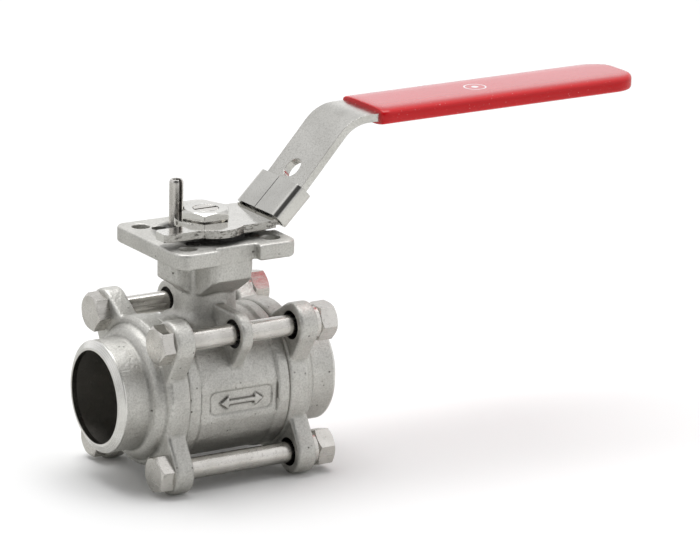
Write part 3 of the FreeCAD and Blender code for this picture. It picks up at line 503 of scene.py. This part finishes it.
def smoothed(mesh, rounds, hold):
    """Relax a mesh's points towards their neighbours; hold gives each point's share of the movement."""
    count = len(mesh.vertices)
    points = np.empty(count * 3, dtype=np.float32)
    mesh.vertices.foreach_get("co", points)
    points = points.reshape(count, 3).astype(np.float64)
    ends = np.empty(len(mesh.edges) * 2, dtype=np.int32)
    mesh.edges.foreach_get("vertices", ends)
    ends = ends.reshape(-1, 2)
    kept = hold(points)
    share = (0.5 * kept)[:, None]
    number = np.bincount(ends.ravel(), minlength=count)[:, None]
    for _ in range(rounds):
        total = np.empty_like(points)
        for axis in range(3):
            total[:, axis] = (np.bincount(ends[:, 0], points[ends[:, 1], axis], count)
                              + np.bincount(ends[:, 1], points[ends[:, 0], axis], count))
        points += share * (total / number - points)
    mesh.vertices.foreach_set("co", points.astype(np.float32).ravel())
    mesh.update()
    return kept


def near(value, low, high):
    """0 below low and 1 above high."""
    return np.clip((value - low) / (high - low), 0.0, 1.0)


def casting_hold(points):
    """Cast edges round off freely; joint faces, holes and machined ends keep their shape."""
    x, y, z = points.T
    along = np.abs(x)
    hold = 0.25 + 0.75 * near(np.abs(along - JOINT), 0.2 * MM, 1.2 * MM)
    hold *= 1.0 - near(along, WELD_CUT - 2.0 * MM, WELD_CUT - 1.0 * MM)
    on_panel = (along < PANEL_REACH) & (np.abs(z) < PANEL_HALF_HEIGHT) & (y < PANEL_DEPTH)
    hold = np.where(on_panel, 0.0, hold)
    for side in (-1, 1):
        for other in (-1, 1):
            for offset, radius in PAD_HOLES:
                reach = np.hypot(x - side * offset, y - other * offset) - radius
                at_hole = hold * (0.1 + 0.9 * near(reach, 0.0, 1.5 * MM))
                hold = np.where(z > PAD_HOLES_START, at_hole, hold)
            reach = np.hypot(y - side * BOLT_OFFSET, z - other * BOLT_OFFSET) - LUG_HOLE_RADIUS
            hold = hold * (0.45 + 0.55 * near(reach, 0.0, 1.0 * MM))
    return hold * near(np.hypot(y, z), BORE_RADIUS + 0.45 * MM, BORE_RADIUS + 1.95 * MM)


def applied(piece):
    """Keep what a piece's modifiers give as its own mesh, and clear them."""
    shape = bpy.data.meshes.new_from_object(piece.evaluated_get(bpy.context.evaluated_depsgraph_get()))
    piece.modifiers.clear()
    piece.data = shape
    return shape


def make_casting(node, name, material):
    """The node's own shape, with the soft edges and corners of an investment casting."""
    source = NODES[node]
    piece = bpy.data.objects.new(name, source.data.copy())
    bpy.context.scene.collection.objects.link(piece)
    remesh = piece.modifiers.new("grain", "REMESH")
    remesh.mode = "VOXEL"
    remesh.voxel_size = CAST_GRAIN
    hold = smoothed(applied(piece), SMOOTHING_ROUNDS, casting_hold)
    firm = piece.vertex_groups.new(name="firm")
    for step in range(FIRM_STEPS + 1):
        chosen = np.flatnonzero(np.abs(hold - step / FIRM_STEPS) <= 0.5 / FIRM_STEPS)
        firm.add(chosen.tolist(), 1.0 - step / FIRM_STEPS, "REPLACE")
    wrap = piece.modifiers.new("true", "SHRINKWRAP")
    wrap.target = source
    wrap.vertex_group = "firm"
    shape = applied(piece)
    piece.vertex_groups.clear()
    edit = bmesh.new()
    edit.from_mesh(shape)
    ends = [vert for vert in edit.verts if abs(vert.co.x) > WELD_CUT + 0.2 * MM]
    bmesh.ops.delete(edit, geom=ends, context="VERTS")
    edit.to_mesh(shape)
    edit.free()
    shape.polygons.foreach_set("use_smooth", [True] * len(shape.polygons))
    shape.materials.clear()
    shape.materials.append(material)
    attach(piece, "valve_body")
    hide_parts(node)


# ---------------------------------------------------------------- weld ends
LATHE_STEPS = 128
MOUTH_CHAMFER = 0.1 * MM
LAND_RADIUS = 18.5 * MM


def made_piece(name, loops, closed):
    """A piece skinned over loops of points; a closed one joins its last loop to its first."""
    edit = bmesh.new()
    rows = [[edit.verts.new(point) for point in loop] for loop in loops]
    following = rows[1:] + rows[:1] if closed else rows[1:]
    for first, second in zip(rows, following):
        for index in range(len(first)):
            after = (index + 1) % len(first)
            edit.faces.new((first[index], first[after], second[after], second[index]))
    if not closed:
        edit.faces.new(rows[0])
        edit.faces.new(rows[-1])
    bmesh.ops.recalc_face_normals(edit, faces=edit.faces)
    mesh = bpy.data.meshes.new(name)
    edit.to_mesh(mesh)
    edit.free()
    piece = bpy.data.objects.new(name, mesh)
    bpy.context.scene.collection.objects.link(piece)
    return piece


def make_weld_end(side, name, material):
    """The machined end of a cap: bevel, land and the mouth of the bore, turned about the pipe's axis."""
    profile = [(WELD_CUT - 0.2 * MM, BORE_RADIUS), (PIPE_END - MOUTH_CHAMFER, BORE_RADIUS),
               (PIPE_END, BORE_RADIUS + MOUTH_CHAMFER), (PIPE_END, LAND_RADIUS),
               (PIPE_END - 0.05 * MM, LAND_RADIUS + 0.12 * MM),
               (PIPE_END - 1.65 * MM, TUBE_RADIUS - 0.08 * MM),
               (PIPE_END - 1.8 * MM, TUBE_RADIUS), (WELD_CUT - 0.2 * MM, TUBE_RADIUS)]
    loops = []
    for step in range(LATHE_STEPS):
        angle = math.tau * step / LATHE_STEPS
        loops.append([(side * along, radius * math.cos(angle), radius * math.sin(angle))
                      for along, radius in profile])
    piece = made_piece(name, loops, closed=True)
    piece.data.materials.append(material)
    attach(piece, "valve_body")


# ---------------------------------------------------------------- grip
GRIP_SIDES = 72
GRIP_RINGS = 24
GRIP_SQUARENESS = 4.4
GRIP_LIP = 0.9 * MM
GRIP_TIP = 2.4 * MM
CORNER_STEPS = 14


def signed_power(value, power):
    return math.copysign(abs(value) ** power, value)


def make_grip(material):
    """The dipped sleeve: a crowned section that narrows round the corners of its end."""
    low, high = (Vector(corner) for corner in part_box("grip_sleeve"))
    half = (high.y - low.y) / 2
    length = high.x - low.x
    thick = (high.z - low.z - length * math.sin(GRIP_RISE)) / 2
    foot = Vector((low.x, 0.0, low.z + thick))
    stations = [0.0, 0.25 * MM, GRIP_LIP, 4 * MM]
    stations += [length * step / GRIP_RINGS for step in range(2, GRIP_RINGS - 2)]
    stations += [length - GRIP_CORNER * (1 - math.sin(step / CORNER_STEPS * math.pi / 2))
                 for step in range(CORNER_STEPS + 1)]
    loops = []
    for place in stations:
        past = max(0.0, place - (length - GRIP_CORNER))
        width = half - GRIP_CORNER + math.sqrt(max(GRIP_CORNER ** 2 - past ** 2, 0.0))
        tip = max(0.0, 1 - (length - place) / GRIP_TIP)
        height = thick * math.sqrt(1 - tip ** 2 * 0.75)
        lip = 1.0 - 0.06 * max(0.0, 1 - place / GRIP_LIP) ** 2
        loop = []
        for step in range(GRIP_SIDES):
            angle = math.tau * step / GRIP_SIDES
            across = width * lip * signed_power(math.cos(angle), 2 / GRIP_SQUARENESS)
            up = height * lip * signed_power(math.sin(angle), 2 / GRIP_SQUARENESS)
            loop.append(foot + Vector((place * math.cos(GRIP_RISE), across,
                                       place * math.sin(GRIP_RISE) + up)))
        loops.append(loop)
    piece = made_piece("grip_skin", loops, closed=False)
    faces = piece.data.polygons
    faces.foreach_set("use_smooth", [len(face.vertices) == 4 for face in faces])
    piece.data.materials.append(material)
    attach(piece, "handle")
    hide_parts("grip_sleeve")


# ---------------------------------------------------------------- the valve
def dress(material, *names):
    """Give nodes a finish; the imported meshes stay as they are."""
    for name in names:
        thing = NODES[name]
        thing.data.materials.clear()
        thing.data.materials.append(material)


def dress_castings():
    cast = cast_steel()
    dress(cast, "body_center", "left_end_cap", "right_end_cap")
    make_casting("body_center", "body_casting", cast)
    make_casting("left_end_cap", "left_cap_casting", cast)
    make_casting("right_end_cap", "right_cap_casting", cast)
    turned = turned_steel()
    make_weld_end(-1, "left_weld_end", turned)
    make_weld_end(1, "right_weld_end", turned)


def dress_handle():
    vinyl = red_vinyl()
    make_grip(vinyl)
    dress(vinyl, "grip_sleeve")
    dress(lever_steel(), "lever")
    dress(polished_steel(), "lock_slide", "ball", "stem_nut")


def dress_fasteners():
    dress(bright_steel("pin_steel", 0.22, 0.36), "stop_pin")
    dress(bright_steel("bright_fasteners", 0.16, 0.34), "body_bolts", "bolt_nuts", "spring_washers",
          "stem_washer", "stem", "gland_ring", "gland_nut", "disc_spring_lower", "disc_spring_upper")


def dress_seals():
    dress(plain_part("white_ptfe", PTFE, 0.45), "seat_ring_left", "seat_ring_right", "body_gasket_left",
          "body_gasket_right", "stem_thrust_washer", "packing_ring_lower", "packing_ring_middle",
          "packing_ring_upper")
    dress(plain_part("black_rubber", RUBBER, 0.5), "stem_o_ring")


make_camera()
make_studio()
dress_castings()
dress_handle()
dress_fasteners()
dress_seals()
